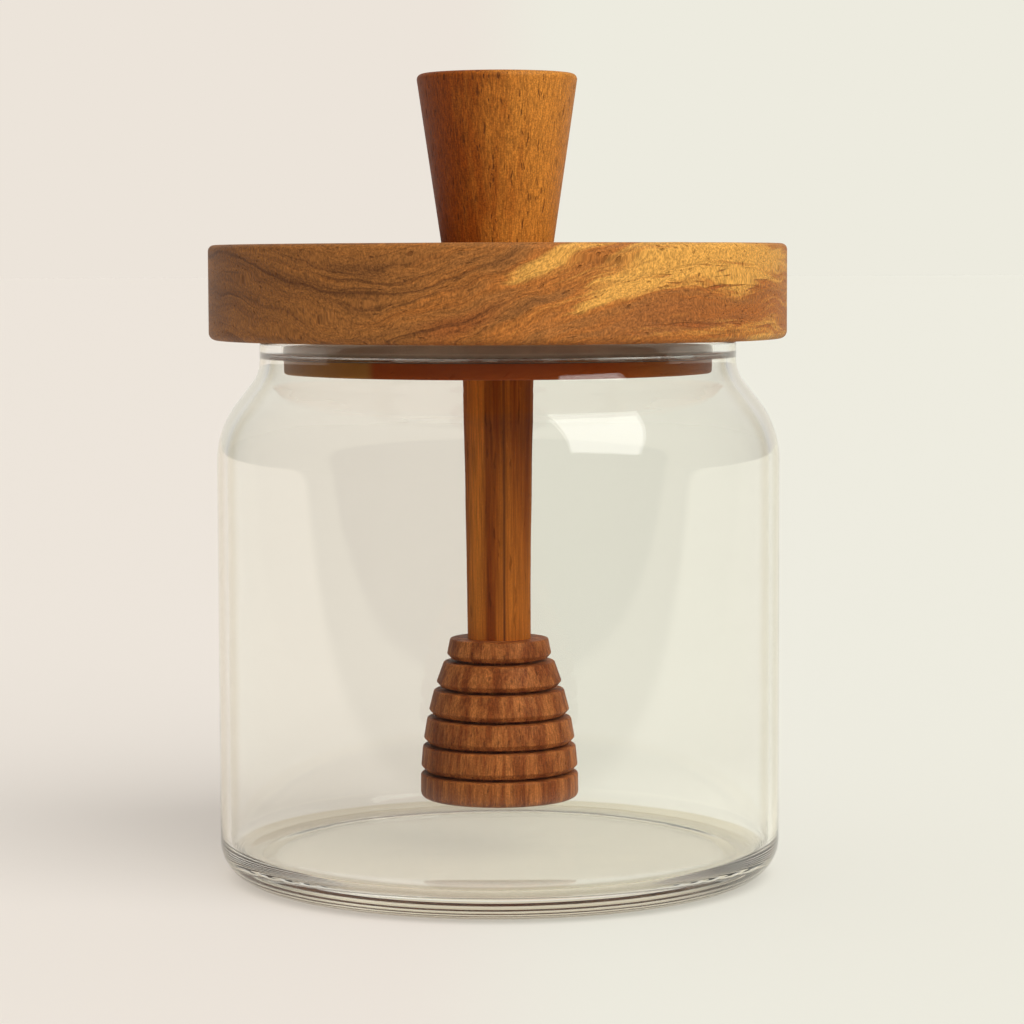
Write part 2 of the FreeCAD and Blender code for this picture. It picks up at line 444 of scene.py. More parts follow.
def head_outline(sizes):
    """The head, from the middle of its foot up over its rings and down its socket."""
    corners = [(0, sizes.head_foot)]
    for ring in range(sizes.rings):
        bottom = sizes.head_foot + ring * sizes.pitch
        edge = bottom + sizes.bevel_height
        if ring == 0:
            corners.append((head_swell(sizes, bottom), bottom, sizes.foot_round))
        else:
            corners += [
                (head_swell(sizes, bottom) - sizes.slot_depth, bottom),
                (head_swell(sizes, edge) - sizes.bevel_depth, bottom),
                (head_swell(sizes, edge), edge, sizes.edge_round),
            ]
        if ring == sizes.rings - 1:
            brim = head_swell(sizes, edge) - sizes.taper
            corners.append((brim, head_top(sizes), sizes.ring_round))
        else:
            top = bottom + sizes.pitch - sizes.slot
            core = head_swell(sizes, bottom + sizes.pitch) - sizes.slot_depth
            corners += [(head_swell(sizes, top), top, sizes.ring_round), (core, top)]
    corners += [
        (sizes.socket, head_top(sizes)),
        (sizes.socket, sizes.socket_foot),
        (0, sizes.socket_foot),
    ]
    return outline(corners, 0.8 * MM, arc_step=math.radians(12))


# ---------------------------------------------------------------- node trees


class Graph:
    """A node tree being written: it adds nodes and feeds their sockets."""

    def __init__(self, tree):
        self.tree = tree

    def feed(self, socket, value):
        """Links a socket to another, or gives it a plain value."""
        if isinstance(value, bpy.types.NodeSocket):
            self.tree.links.new(value, socket)
        elif value is not None:
            socket.default_value = value

    def add(self, kind, inputs=None, **settings):
        """Adds a node, sets it up and feeds its inputs, given by name or number."""
        node = self.tree.nodes.new(kind)
        for name, value in settings.items():
            setattr(node, name, value)
        for name, value in (inputs or {}).items():
            self.feed(node.inputs[name], value)
        return node

    def math(self, operation, *values, clamp=False):
        """One arithmetic step."""
        inputs = dict(enumerate(values))
        return self.add("ShaderNodeMath", inputs, operation=operation, use_clamp=clamp).outputs[0]

    def vector(self, operation, *values):
        """One vector step; its vector output."""
        inputs = dict(enumerate(values))
        return self.add("ShaderNodeVectorMath", inputs, operation=operation).outputs[0]

    def distance(self, point, centre):
        """How far a point is from a centre."""
        inputs = {0: point, 1: centre}
        return self.add("ShaderNodeVectorMath", inputs, operation="DISTANCE").outputs["Value"]

    def vector_length(self, vector):
        """A vector's length."""
        return self.add("ShaderNodeVectorMath", {0: vector}, operation="LENGTH").outputs["Value"]

    def split(self, vector):
        """A vector's three parts."""
        return self.add("ShaderNodeSeparateXYZ", {0: vector}).outputs[:]

    def join(self, x, y, z):
        """A vector from three parts."""
        return self.add("ShaderNodeCombineXYZ", {0: x, 1: y, 2: z}).outputs[0]

    def ramp(self, value, low, high, bottom=0.0, top=1.0):
        """Goes smoothly from bottom to top while value goes from low to high."""
        inputs = {
            "Value": value,
            "From Min": low,
            "From Max": high,
            "To Min": bottom,
            "To Max": top,
        }
        node = self.add("ShaderNodeMapRange", inputs, interpolation_type="SMOOTHSTEP")
        return node.outputs["Result"]

    def noise(self, point, scale, detail=2.0, roughness=0.5, distortion=0.0):
        """Noise between 0 and 1."""
        inputs = {
            "Vector": point,
            "Scale": scale,
            "Detail": detail,
            "Roughness": roughness,
            "Distortion": distortion,
        }
        return self.add("ShaderNodeTexNoise", inputs).outputs[0]

    def mix(self, share, first, second, blend="MIX"):
        """Mixes two colours."""
        inputs = {0: share, 6: first, 7: second}
        node = self.add("ShaderNodeMix", inputs, data_type="RGBA", blend_type=blend)
        return node.outputs[2]

    def shade(self, colour, level):
        """A colour made darker or lighter by a level."""
        return self.mix(1.0, colour, self.join(level, level, level), "MULTIPLY")

    def finish(self, shader, kind="Material"):
        """Makes a shader the one that the material or world shows."""
        out = self.add("ShaderNodeOutput" + kind)
        self.feed(out.inputs["Surface"], shader.outputs[0])

    def group(self, tree, inputs):
        """Places a node group."""
        node = self.tree.nodes.new("ShaderNodeGroup")
        node.node_tree = tree
        for name, value in inputs.items():
            self.feed(node.inputs[name], value)
        return node.outputs


SOCKETS = {
    "float": "NodeSocketFloat",
    "int": "NodeSocketInt",
    "vector": "NodeSocketVector",
    "colour": "NodeSocketColor",
    "material": "NodeSocketMaterial",
    "geometry": "NodeSocketGeometry",
}


def new_group(name, kind, inputs, outputs):
    """An empty node group with named sockets, its Graph, its input sockets and its output node."""
    tree = bpy.data.node_groups.new(name, kind)
    for label, (socket, default) in inputs.items():
        item = tree.interface.new_socket(label, in_out="INPUT", socket_type=SOCKETS[socket])
        if default is not None:
            item.default_value = default
    for label, socket in outputs.items():
        tree.interface.new_socket(label, in_out="OUTPUT", socket_type=SOCKETS[socket])
    graph = Graph(tree)
    given = graph.add("NodeGroupInput").outputs
    result = graph.add("NodeGroupOutput")
    return tree, graph, given, result


def turning_tree():
    """Turns an outline round Z, as on a lathe, and gives the surface its ripples."""
    inputs = {
        "Outline": ("geometry", None),
        "Segments": ("int", 256),
        "Material": ("material", None),
        "Ripple Depth": ("float", 0.0),
        "Ripple Centre": ("vector", (0.0, 0.0, 0.0)),
        "Ripple Reach": ("float", 1.0),
        "Ripple Fineness": ("vector", (1.0, 1.0, 1.0)),
        "Seed": ("float", 1.0),
    }
    outputs = {"Piece": "geometry"}
    tree, graph, given, result = new_group("Turned piece", "GeometryNodeTree", inputs, outputs)
    size = graph.add(
        "GeometryNodeAttributeDomainSize", {"Geometry": given["Outline"]}, component="MESH"
    )
    rows = size.outputs["Point Count"]
    columns = graph.math("ADD", given["Segments"], 1)
    sheet = graph.add(
        "GeometryNodeMeshGrid",
        {"Size X": 1.0, "Size Y": 1.0, "Vertices X": columns, "Vertices Y": rows},
    )
    place = graph.add("GeometryNodeInputPosition").outputs[0]
    across, along, _ = graph.split(place)
    last_row = graph.math("SUBTRACT", rows, 1)
    row = graph.math("ROUND", graph.math("MULTIPLY", graph.math("ADD", along, 0.5), last_row))
    corner = graph.add(
        "GeometryNodeSampleIndex",
        {"Geometry": given["Outline"], "Value": place, "Index": row},
        data_type="FLOAT_VECTOR",
        domain="POINT",
    ).outputs[0]
    radius, _, height = graph.split(corner)
    turn = graph.math("MULTIPLY", across, 2 * math.pi)
    x = graph.math("MULTIPLY", radius, graph.math("COSINE", turn))
    y = graph.math("MULTIPLY", radius, graph.math("SINE", turn))
    turned = graph.add(
        "GeometryNodeSetPosition",
        {"Geometry": sheet.outputs["Mesh"], "Position": graph.join(x, y, height)},
    )
    closed = graph.add(
        "GeometryNodeMergeByDistance", {"Geometry": turned.outputs[0], "Distance": 2e-6}
    )
    pattern = graph.add(
        "ShaderNodeTexNoise",
        {
            "Vector": graph.vector("MULTIPLY", place, given["Ripple Fineness"]),
            "W": given["Seed"],
            "Scale": 1.0,
            "Detail": 2.0,
        },
        noise_dimensions="4D",
    ).outputs[0]
    away = graph.distance(place, given["Ripple Centre"])
    near = graph.ramp(graph.math("DIVIDE", away, given["Ripple Reach"]), 1.0, 0.4)
    depth = graph.math("MULTIPLY", graph.math("MULTIPLY", near, given["Ripple Depth"]), 2.0)
    amount = graph.math("MULTIPLY", graph.math("SUBTRACT", pattern, 0.5), depth)
    normal = graph.add("GeometryNodeInputNormal").outputs[0]
    push = graph.add("ShaderNodeVectorMath", {0: normal, "Scale": amount}, operation="SCALE")
    rippled = graph.add(
        "GeometryNodeSetPosition", {"Geometry": closed.outputs[0], "Offset": push.outputs[0]}
    )
    smooth = graph.add("GeometryNodeSetShadeSmooth", {"Geometry": rippled.outputs[0]})
    real = graph.add("GeometryNodeRealizeInstances", {"Geometry": smooth.outputs[0]})
    finished = graph.add(
        "GeometryNodeSetMaterial",
        {"Geometry": real.outputs[0], "Material": given["Material"]},
    )
    graph.feed(result.inputs["Piece"], finished.outputs[0])
    return tree


def turned_piece(name, points, material, **values):
    """A plain mesh turned from an outline by the tree "Turned piece"."""
    tree = bpy.data.node_groups.get("Turned piece") or turning_tree()
    mesh = bpy.data.meshes.new(name + "_outline")
    edges = [(number, number + 1) for number in range(len(points) - 1)]
    mesh.from_pydata([(point.x, 0.0, point.y) for point in points], edges, [])
    maker = bpy.data.objects.new(name + "_maker", mesh)
    bpy.context.scene.collection.objects.link(maker)
    modifier = maker.modifiers.new("Turning", "NODES")
    modifier.node_group = tree
    values["Material"] = material
    for item in tree.interface.items_tree:
        if item.in_out == "INPUT" and item.name in values:
            modifier[item.identifier] = values[item.name]
    bpy.context.view_layer.update()
    evaluated = maker.evaluated_get(bpy.context.evaluated_depsgraph_get())
    made = bpy.data.meshes.new_from_object(evaluated)
    maker.modifiers.clear()
    bpy.data.objects.remove(maker)
    bpy.data.meshes.remove(mesh)
    if not made.polygons:
        raise RuntimeError(f"{name} came out empty")
    made.name = name
    made.set_sharp_from_angle(angle=math.radians(32))
    piece = bpy.data.objects.new(name, made)
    bpy.context.scene.collection.objects.link(piece)
    return piece


def install(piece, node):
    """Puts a finished piece in the place of a CAD node."""
    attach(piece, "root")
    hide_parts(node)


# ------------------------------------------------------------ shader effects


def shader_group(name, builder, inputs, outputs):
    """The shader node group of that name, built the first time it is asked for."""
    tree = bpy.data.node_groups.get(name)
    if tree is None:
        tree, graph, given, result = new_group(name, "ShaderNodeTree", inputs, outputs)
        for label, value in builder(graph, given).items():
            graph.feed(result.inputs[label], value)
    return tree


def grain_group():
    """Fibres, pores and fine speckle of wood whose grain runs along Z, in millimetres."""

    def build(graph, given):
        point = given["Vector"]
        thin = graph.math("DIVIDE", 1.0, given["Fibre Width"])
        long = graph.math("DIVIDE", thin, given["Fibre Stretch"])
        fibres = graph.noise(
            graph.vector("MULTIPLY", point, graph.join(thin, thin, long)), 1.0, 3.0, 0.55
        )
        pore_thin = graph.math("DIVIDE", 1.0, given["Pore Spacing"])
        pore_long = graph.math("DIVIDE", pore_thin, given["Pore Stretch"])
        bent = graph.add(
            "ShaderNodeTexNoise", {"Vector": point, "Scale": 0.35, "Detail": 1.0}
        ).outputs["Color"]
        shifted = graph.vector(
            "ADD", point, graph.vector("MULTIPLY", bent, (1.2, 1.2, 3.0))
        )
        cells = graph.add(
            "ShaderNodeTexVoronoi",
            {
                "Vector": graph.vector(
                    "MULTIPLY", shifted, graph.join(pore_thin, pore_thin, pore_long)
                ),
                "Scale": 1.0,
                "Randomness": 1.0,
            },
            voronoi_dimensions="3D",
            feature="F1",
        )
        chance = graph.split(cells.outputs["Color"])[0]
        reach = graph.ramp(chance, given["Pore Rarity"], 1.0, 0.0, 0.34)
        pores = graph.ramp(
            graph.math("SUBTRACT", cells.outputs["Distance"], reach), 0.02, -0.12
        )
        speckle = graph.noise(point, graph.math("DIVIDE", 1.0, given["Speckle"]), 2.0, 0.6)
        height = graph.math(
            "SUBTRACT",
            graph.math("ADD", fibres, graph.math("MULTIPLY", speckle, 0.6)),
            graph.math("MULTIPLY", pores, 1.6),
        )
        return {"Fibres": fibres, "Pores": pores, "Speckle": speckle, "Height": height}

    inputs = {
        "Vector": ("vector", None),
        "Fibre Width": ("float", 0.5),
        "Fibre Stretch": ("float", 14.0),
        "Pore Spacing": ("float", 1.1),
        "Pore Stretch": ("float", 5.0),
        "Pore Rarity": ("float", 0.4),
        "Speckle": ("float", 0.45),
    }
    outputs = {"Fibres": "float", "Pores": "float", "Speckle": "float", "Height": "float"}
    return shader_group("Wood grain", build, inputs, outputs)


def patch_group():
    """A soft oval patch on the front, in flow coordinates and millimetres."""

    def build(graph, given):
        moved = graph.vector("SUBTRACT", given["Vector"], given["Centre"])
        x, y, z = graph.split(moved)
        long = graph.math("DIVIDE", x, given["Half Length"])
        wide = graph.math("DIVIDE", z, given["Half Width"])
        away = graph.vector_length(graph.join(long, 0.0, wide))
        oval = graph.ramp(away, 1.35, 0.2)
        front = graph.ramp(y, 6.0, -6.0)
        return {"Mask": graph.math("MULTIPLY", oval, front)}

    inputs = {
        "Vector": ("vector", None),
        "Centre": ("vector", (0.0, 0.0, 0.0)),
        "Half Length": ("float", 5.0),
        "Half Width": ("float", 2.0),
    }
    return shader_group("Wood patch", build, inputs, {"Mask": "float"})


def flow_group():
    """The growth layers of the lid's board: they dip on the left and climb to the right."""

    def build(graph, given):
        point = given["Vector"]
        x, y, z = graph.split(point)
        climb = graph.ramp(x, -22.0, 30.0, 0.0, 16.0)
        dip = graph.ramp(x, -50.0, -22.0, 8.0, 0.0)
        across = graph.math("SUBTRACT", BOARD_RADIUS**2, graph.math("MULTIPLY", x, x))
        front = graph.math("SQRT", graph.math("MAXIMUM", across, 0.0))
        depth = graph.math("MULTIPLY", graph.math("ADD", y, front), 0.42)
        layer = graph.math("SUBTRACT", graph.math("SUBTRACT", z, climb), dip)
        layer = graph.math("ADD", layer, depth)
        drift = graph.noise(graph.vector("MULTIPLY", point, (0.07, 0.07, 0.16)), 1.0, 2.0)
        layer = graph.math("ADD", layer, graph.ramp(drift, 0.2, 0.8, -1.3, 1.3))
        return {"Layer": layer}

    return shader_group("Growth layers", build, {"Vector": ("vector", None)}, {"Layer": "float"})


def tint_group():
    """A colour made lighter and darker by a pattern."""

    def build(graph, given):
        value = graph.ramp(given["Pattern"], 0.25, 0.75, -1.0, 1.0)
        value = graph.math("ADD", graph.math("MULTIPLY", value, given["Amount"]), 1.0)
        return {"Colour": graph.shade(given["Colour"], value)}

    inputs = {
        "Colour": ("colour", None),
        "Pattern": ("float", 0.5),
        "Amount": ("float", 0.1),
    }
    return shader_group("Tint", build, inputs, {"Colour": "colour"})


def new_material(name):
    """An empty material, its Graph, and object coordinates in millimetres."""
    material = bpy.data.materials.new(name)
    material.use_nodes = True
    graph = Graph(material.node_tree)
    graph.tree.nodes.clear()
    place = graph.add("ShaderNodeTexCoord").outputs["Object"]
    point = graph.add(
        "ShaderNodeMapping", {"Vector": place, "Scale": (1000.0, 1000.0, 1000.0)}
    ).outputs[0]
    return material, graph, point


def finish_wood(graph, base, grain, height, roughness=0.46, relief=0.06):
    """Oiled wood from a colour, a placed "Wood grain" and the height of its surface."""
    rough = graph.math(
        "ADD",
        graph.ramp(grain["Speckle"], 0.2, 0.8, roughness - 0.08, roughness + 0.08),
        graph.math("MULTIPLY", grain["Pores"], 0.25),
    )
    bump = graph.add(
        "ShaderNodeBump",
        {"Strength": 0.8, "Distance": relief * MM, "Height": height},
    )
    shader = graph.add(
        "ShaderNodeBsdfPrincipled",
        {
            "Base Color": base,
            "Roughness": rough,
            "Normal": bump.outputs[0],
            "Specular IOR Level": 0.22,
        },
    )
    graph.finish(shader)


def place_grain(graph, point, width, stretch, pore_spacing, pore_stretch, speckle, rarity=0.4):
    """The group "Wood grain" with one wood's sizes, in millimetres."""
    inputs = {
        "Vector": point,
        "Fibre Width": width,
        "Fibre Stretch": stretch,
        "Pore Spacing": pore_spacing,
        "Pore Stretch": pore_stretch,
        "Pore Rarity": rarity,
        "Speckle": speckle,
    }
    return graph.group(grain_group(), inputs)


def tinted(graph, base, pattern, amount):
    """A colour made lighter and darker by a pattern."""
    inputs = {"Colour": base, "Pattern": pattern, "Amount": amount}
    return graph.group(tint_group(), inputs)[0]


def grained(graph, base, grain, pore, fibres, speckle, pores):
    """A colour with a placed grain over it, by how much each part of the grain shows."""
    base = tinted(graph, base, grain["Fibres"], fibres)
    base = tinted(graph, base, grain["Speckle"], speckle)
    return graph.mix(graph.math("MULTIPLY", grain["Pores"], pores), base, pore)


def lid_wood(colours):
    """The lid: dark heartwood with sweeping lines on the left, golden sapwood on the right."""
    material, graph, point = new_material("Acacia lid")
    layer = graph.group(flow_group(), {"Vector": point})[0]
    x, y, z = graph.split(point)
    flow = graph.join(x, y, layer)

    def patches(marks):
        total = 0.0
        for across, height, half_length, half_width, amount in marks:
            inputs = {
                "Vector": flow,
                "Centre": (across, 0.0, height),
                "Half Length": half_length,
                "Half Width": half_width,
            }
            mask = graph.group(patch_group(), inputs)[0]
            total = graph.math("ADD", total, graph.math("MULTIPLY", mask, amount))
        return total

    # across, layer, half length, half width, how much lighter or darker
    marks = [
        (-14.0, 99.6, 9.0, 2.6, 0.16),
        (9.0, 98.6, 8.5, 2.6, 0.42),
        (17.0, 89.6, 7.0, 1.3, 0.26),
        (30.0, 93.0, 18.0, 4.6, 0.34),
        # Painted sheen: the next mark lightens the lid's right rim, where it catches the light.
        (45.0, 92.0, 6.0, 8.0, 0.14),
        (-23.0, 107.6, 7.0, 1.6, -0.26),
        (1.5, 102.8, 4.5, 1.6, -0.42),
        (-7.0, 95.4, 8.0, 1.7, -0.22),
        (7.0, 93.4, 7.5, 1.3, -0.36),
        (31.0, 84.8, 19.0, 4.2, -0.44),
        (-42.0, 100.0, 9.0, 6.0, -0.10),
    ]
    bands = graph.noise(graph.vector("MULTIPLY", flow, (0.03, 0.03, 0.30)), 1.0, 3.0, 0.6)
    streaks = graph.noise(graph.vector("MULTIPLY", flow, (0.06, 0.06, 1.1)), 1.0, 3.0, 0.6)
    tone = graph.math("ADD", graph.ramp(x, -40.0, 44.0, 0.20, 0.78), patches(marks))
    tone = graph.math("ADD", tone, graph.ramp(bands, 0.25, 0.75, -0.19, 0.19))
    tone = graph.math("ADD", tone, graph.ramp(streaks, 0.25, 0.75, -0.15, 0.15))

    base = graph.mix(graph.ramp(tone, 0.0, 0.36), colours.lid_dark, colours.lid_brown)
    base = graph.mix(graph.ramp(tone, 0.34, 0.66), base, colours.lid_orange)
    base = graph.mix(graph.ramp(tone, 0.64, 1.0), base, colours.lid_gold)
    red = patches([(-6.0, 95.2, 8.0, 2.4, 0.5), (34.0, 84.5, 18.0, 4.0, 0.35)])
    base = graph.mix(red, base, colours.lid_red)

    fine = graph.noise(graph.vector("MULTIPLY", flow, (0.03, 0.03, 1.5)), 1.0, 4.0, 0.65)
    fine_lines = graph.math("MULTIPLY", graph.ramp(fine, 0.52, 0.70), 0.6)
    from_line = graph.math("ABSOLUTE", graph.math("SUBTRACT", layer, 103.2))
    main_line = graph.ramp(from_line, 0.55, 0.05)
    main_line = graph.math("MULTIPLY", main_line, graph.ramp(x, 8.0, -6.0, 0.0, 0.6))
    left = graph.ramp(x, 16.0, -14.0, 0.3, 1.0)
    lines = graph.math("MULTIPLY", graph.math("MAXIMUM", main_line, fine_lines), left)
    base = graph.mix(lines, base, colours.lid_line)

    # Short splits along the grain in the sapwood: a dent in the bump, with painted shade inside
    # each split and a painted highlight on the light lip beside it.
    split_place = graph.vector("MULTIPLY", point, (0.11, 0.11, 1.15))
    splits = graph.noise(split_place, 1.0, 3.0, 0.55, 0.6)
    where = patches([(36.0, 90.0, 14.0, 2.2, 1.0), (36.0, 82.0, 15.0, 2.0, 0.7)])
    splits_and_painted_shade = graph.math("MULTIPLY", graph.ramp(splits, 0.56, 0.66), where)
    painted_lip_highlight = graph.math("MULTIPLY", graph.ramp(splits, 0.50, 0.42), where)
    # Painted shade in the splits, then a painted highlight on their lips.
    base = graph.mix(graph.math("MULTIPLY", splits_and_painted_shade, 0.85), base, colours.lid_red)
    base = graph.mix(graph.math("MULTIPLY", painted_lip_highlight, 0.55), base, colours.lid_gold)

    along_x = graph.add(
        "ShaderNodeMapping", {"Vector": flow, "Rotation": (0.0, math.radians(90), 0.0)}
    ).outputs[0]
    grain = place_grain(graph, along_x, 0.42, 6.0, 0.8, 4.0, 0.34, rarity=0.6)
    base = grained(graph, base, grain, colours.pore, 0.22, 0.34, 0.4)
    # The plug under the lid: its red is partly its wood and partly painted shade for the lid's
    # shadow over it; its two ends are lighter with a painted reflection of the glass neck.
    plug = graph.ramp(z, 95.7, 95.5)
    painted_reflection_left = graph.ramp(x, -20.0, -22.0, 0.0, 0.75)
    painted_reflection_right = graph.ramp(x, 16.0, 30.0, 0.0, 0.35)
    pale = graph.math("ADD", painted_reflection_left, painted_reflection_right)
    plug_shade_and_reflection = graph.mix(pale, colours.plug_red_and_shade, colours.lid_gold)
    base = graph.mix(graph.math("MULTIPLY", plug, 0.85), base, plug_shade_and_reflection)
    height = graph.math("SUBTRACT", grain["Height"], graph.math("MULTIPLY", splits_and_painted_shade, 3.0))
    finish_wood(graph, base, grain, height, roughness=0.54, relief=0.16)
    return material


def knob_wood(colours):
    """The knob: upright grain, dark on the left and golden on the right, partly its wood and
    partly painted shade and light.
    """
    material, graph, point = new_material("Acacia knob")
    drift = graph.noise(graph.vector("MULTIPLY", point, (0.5, 0.5, 0.05)), 1.0, 4.0, 0.6)
    across = graph.split(point)[0]
    # Darker on the left and lighter on the right: partly the wood's own two tones, partly painted
    # light, with the right side lit and the left side shaded.
    side = graph.math("ADD", across, graph.ramp(drift, 0.25, 0.75, -3.5, 3.5))
    light = graph.ramp(side, -9.0, 9.0)
    grain = place_grain(graph, point, 0.26, 16.0, 0.46, 13.0, 0.3, rarity=0.35)
    base = graph.mix(light, colours.knob_dark_and_shaded, colours.knob_light_and_lit)
    base = grained(graph, base, grain, colours.pore, 0.36, 0.28, 0.75)
    finish_wood(graph, base, grain, grain["Height"], roughness=0.54, relief=0.08)
    return material


def stem_wood(colours):
    """The stem: long straight streaks."""
    material, graph, point = new_material("Acacia stem")
    streak = graph.noise(graph.vector("MULTIPLY", point, (0.42, 0.42, 0.012)), 1.0, 3.0, 0.6)
    grain = place_grain(graph, point, 0.28, 30.0, 0.7, 9.0, 0.3)
    x, y, z = graph.split(point)
    front = graph.ramp(y, 1.0, -1.5)
    band = graph.ramp(graph.math("ABSOLUTE", graph.math("ADD", x, 4.0)), 2.0, 1.0, 0.0, 0.60)
    # Painted light: the stem's lower right front is lighter, below the lid's shadow, on the side
    # where the key light falls.
    lower = graph.ramp(z, 82.0, 52.0, 0.0, 0.24)
    painted_light_lower_right = graph.math("MULTIPLY", graph.ramp(x, 0.4, 2.2), lower)
    marks = graph.math("MULTIPLY", graph.math("ADD", band, painted_light_lower_right), front)
    tone = graph.math("ADD", graph.ramp(streak, 0.36, 0.64, 0.0, 0.5), marks, clamp=True)
    base = graph.mix(tone, colours.stem_dark, colours.stem_light)
    seam = graph.ramp(graph.math("ABSOLUTE", graph.math("SUBTRACT", x, 1.0)), 0.34, 0.06, 0.0, 0.7)
    base = graph.mix(graph.math("MULTIPLY", seam, front), base, colours.pore)
    base = grained(graph, base, grain, colours.pore, 0.26, 0.10, 0.4)
    finish_wood(graph, base, grain, grain["Height"], roughness=0.68)
    return material


def head_wood(colours):
    """The dipper's head: reddish, with short upright grain."""
    material, graph, point = new_material("Acacia head")
    streak = graph.noise(graph.vector("MULTIPLY", point, (0.5, 0.5, 0.04)), 1.0, 3.0, 0.6)
    grain = place_grain(graph, point, 0.26, 10.0, 0.6, 4.0, 0.28)
    base = graph.mix(graph.ramp(streak, 0.35, 0.65), colours.head_dark, colours.head_light)
    base = grained(graph, base, grain, colours.pore, 0.34, 0.24, 0.45)
    finish_wood(graph, base, grain, grain["Height"], roughness=0.5)
    return material


def silicone(colours):
    """The seal: matt taupe silicone with a faint bloom, and painted shade along its foot."""
    material, graph, point = new_material("Silicone seal")
    bloom = graph.noise(point, 0.25, 3.0)
    dust = graph.noise(point, 3.0, 2.0)
    base = tinted(graph, colours.seal_colour, bloom, 0.1)
    base = tinted(graph, base, dust, 0.04)
    # Painted shade: the seal darkens towards its foot, where it meets the flange.
    foot = graph.ramp(graph.split(point)[2], 92.5, 94.2, 0.12, 1.0)
    base = graph.shade(base, foot)
    bump = graph.add("ShaderNodeBump", {"Strength": 0.3, "Distance": 0.02 * MM, "Height": dust})
    shader = graph.add(
        "ShaderNodeBsdfPrincipled",
        {
            "Base Color": base,
            "Roughness": graph.ramp(bloom, 0.3, 0.7, 0.5, 0.62),
            "Normal": bump.outputs[0],
            "IOR": 1.42,
        },
    )
    graph.finish(shader)
    return material


def clear_glass(colours):
    """Clear jar glass that lets the lamps reach what hangs in it."""
    material, graph, point = new_material("Clear glass")
    haze = graph.noise(graph.vector("MULTIPLY", point, (0.05, 0.05, 0.2)), 1.0, 3.0)
    # Thick glass shows more of its own colour: round the foot, and seen edge-on.
    facing = graph.add("ShaderNodeLayerWeight", {"Blend": 0.5}).outputs["Facing"]
    edge = graph.ramp(facing, 0.70, 0.84)
    x, y, z = graph.split(point)
    heel = graph.ramp(graph.vector_length(graph.join(x, y, 0.0)), 40.0, 43.0)
    foot = graph.math("MULTIPLY", graph.ramp(z, 4.3, 3.6), heel)
    deep = graph.math("MAXIMUM", edge, foot)
    tint = graph.mix(deep, colours.glass_tint, colours.glass_deep)
    shader = graph.add(
        "ShaderNodeBsdfPrincipled",
        {
            "Base Color": tint,
            "Roughness": graph.ramp(haze, 0.45, 0.8, 0.0, 0.03),
            "IOR": 1.5,
            "Transmission Weight": 1.0,
        },
    )
    through = graph.add("ShaderNodeBsdfTransparent", {"Color": (0.97, 0.965, 0.95, 1.0)})
    path = graph.add("ShaderNodeLightPath").outputs
    both = graph.add(
        "ShaderNodeMixShader",
        {0: path["Is Shadow Ray"], 1: shader.outputs[0], 2: through.outputs[0]},
    )
    graph.finish(both)
    return material


# ------------------------------------------------------------------ the stage


def tone_across(graph, across, look):
    """The background's tone: a little pinker on the left than on the right."""
    return graph.mix(graph.ramp(across, -0.02, 0.02), look.left_tone, look.right_tone)


def add_world(look):
    """A plain pale studio: even to look at, dimmer in what it lights and mirrors."""
    world = bpy.data.worlds.new("Pale studio")
    bpy.context.scene.world = world
    world.use_nodes = True
    graph = Graph(world.node_tree)
    graph.tree.nodes.clear()
    direction = graph.add("ShaderNodeTexCoord").outputs["Generated"]
    x, y, _ = graph.split(direction)
    path = graph.add("ShaderNodeLightPath").outputs
    level = graph.math("ADD", 1.0, graph.math("MULTIPLY", path["Is Transmission Ray"], 0.04))
    behind = graph.add(
        "ShaderNodeBackground", {"Color": tone_across(graph, x, look), "Strength": level}
    )
    room = graph.mix(graph.ramp(y, -0.3, 0.7), ROOM_DARK, ROOM_BRIGHT)
    sides = graph.ramp(graph.math("ABSOLUTE", x), 0.35, 0.80, 1.0, 0.35)
    dimmed = graph.shade(room, sides)
    mirrored = graph.add("ShaderNodeBackground", {"Color": dimmed})
    fill = graph.add(
        "ShaderNodeBackground", {"Color": (*LIGHT_COLOUR, 1.0), "Strength": look.fill}
    )
    # Seen directly or straight through glass, the studio is the background, on every
    # side. Once mirrored, it is a dimmer room, dark in front and bright behind the jar.
    direct = graph.math("LESS_THAN", path["Diffuse Depth"], 0.5)
    reflected = graph.math("GREATER_THAN", path["Glossy Depth"], 0.5)
    seen = graph.math("MULTIPLY", direct, graph.math("SUBTRACT", 1.0, reflected))
    mirror = graph.math("MULTIPLY", direct, reflected)
    lit = graph.add(
        "ShaderNodeMixShader", {0: mirror, 1: fill.outputs[0], 2: mirrored.outputs[0]}
    )
    both = graph.add("ShaderNodeMixShader", {0: seen, 1: lit.outputs[0], 2: behind.outputs[0]})
    graph.finish(both, "World")


def add_plane(name, corners, material):
    """A single flat face."""
    mesh = bpy.data.meshes.new(name)
    mesh.from_pydata(corners, [], [(0, 1, 2, 3)])
    mesh.materials.append(material)
    plane = bpy.data.objects.new(name, mesh)
    bpy.context.scene.collection.objects.link(plane)
    return plane


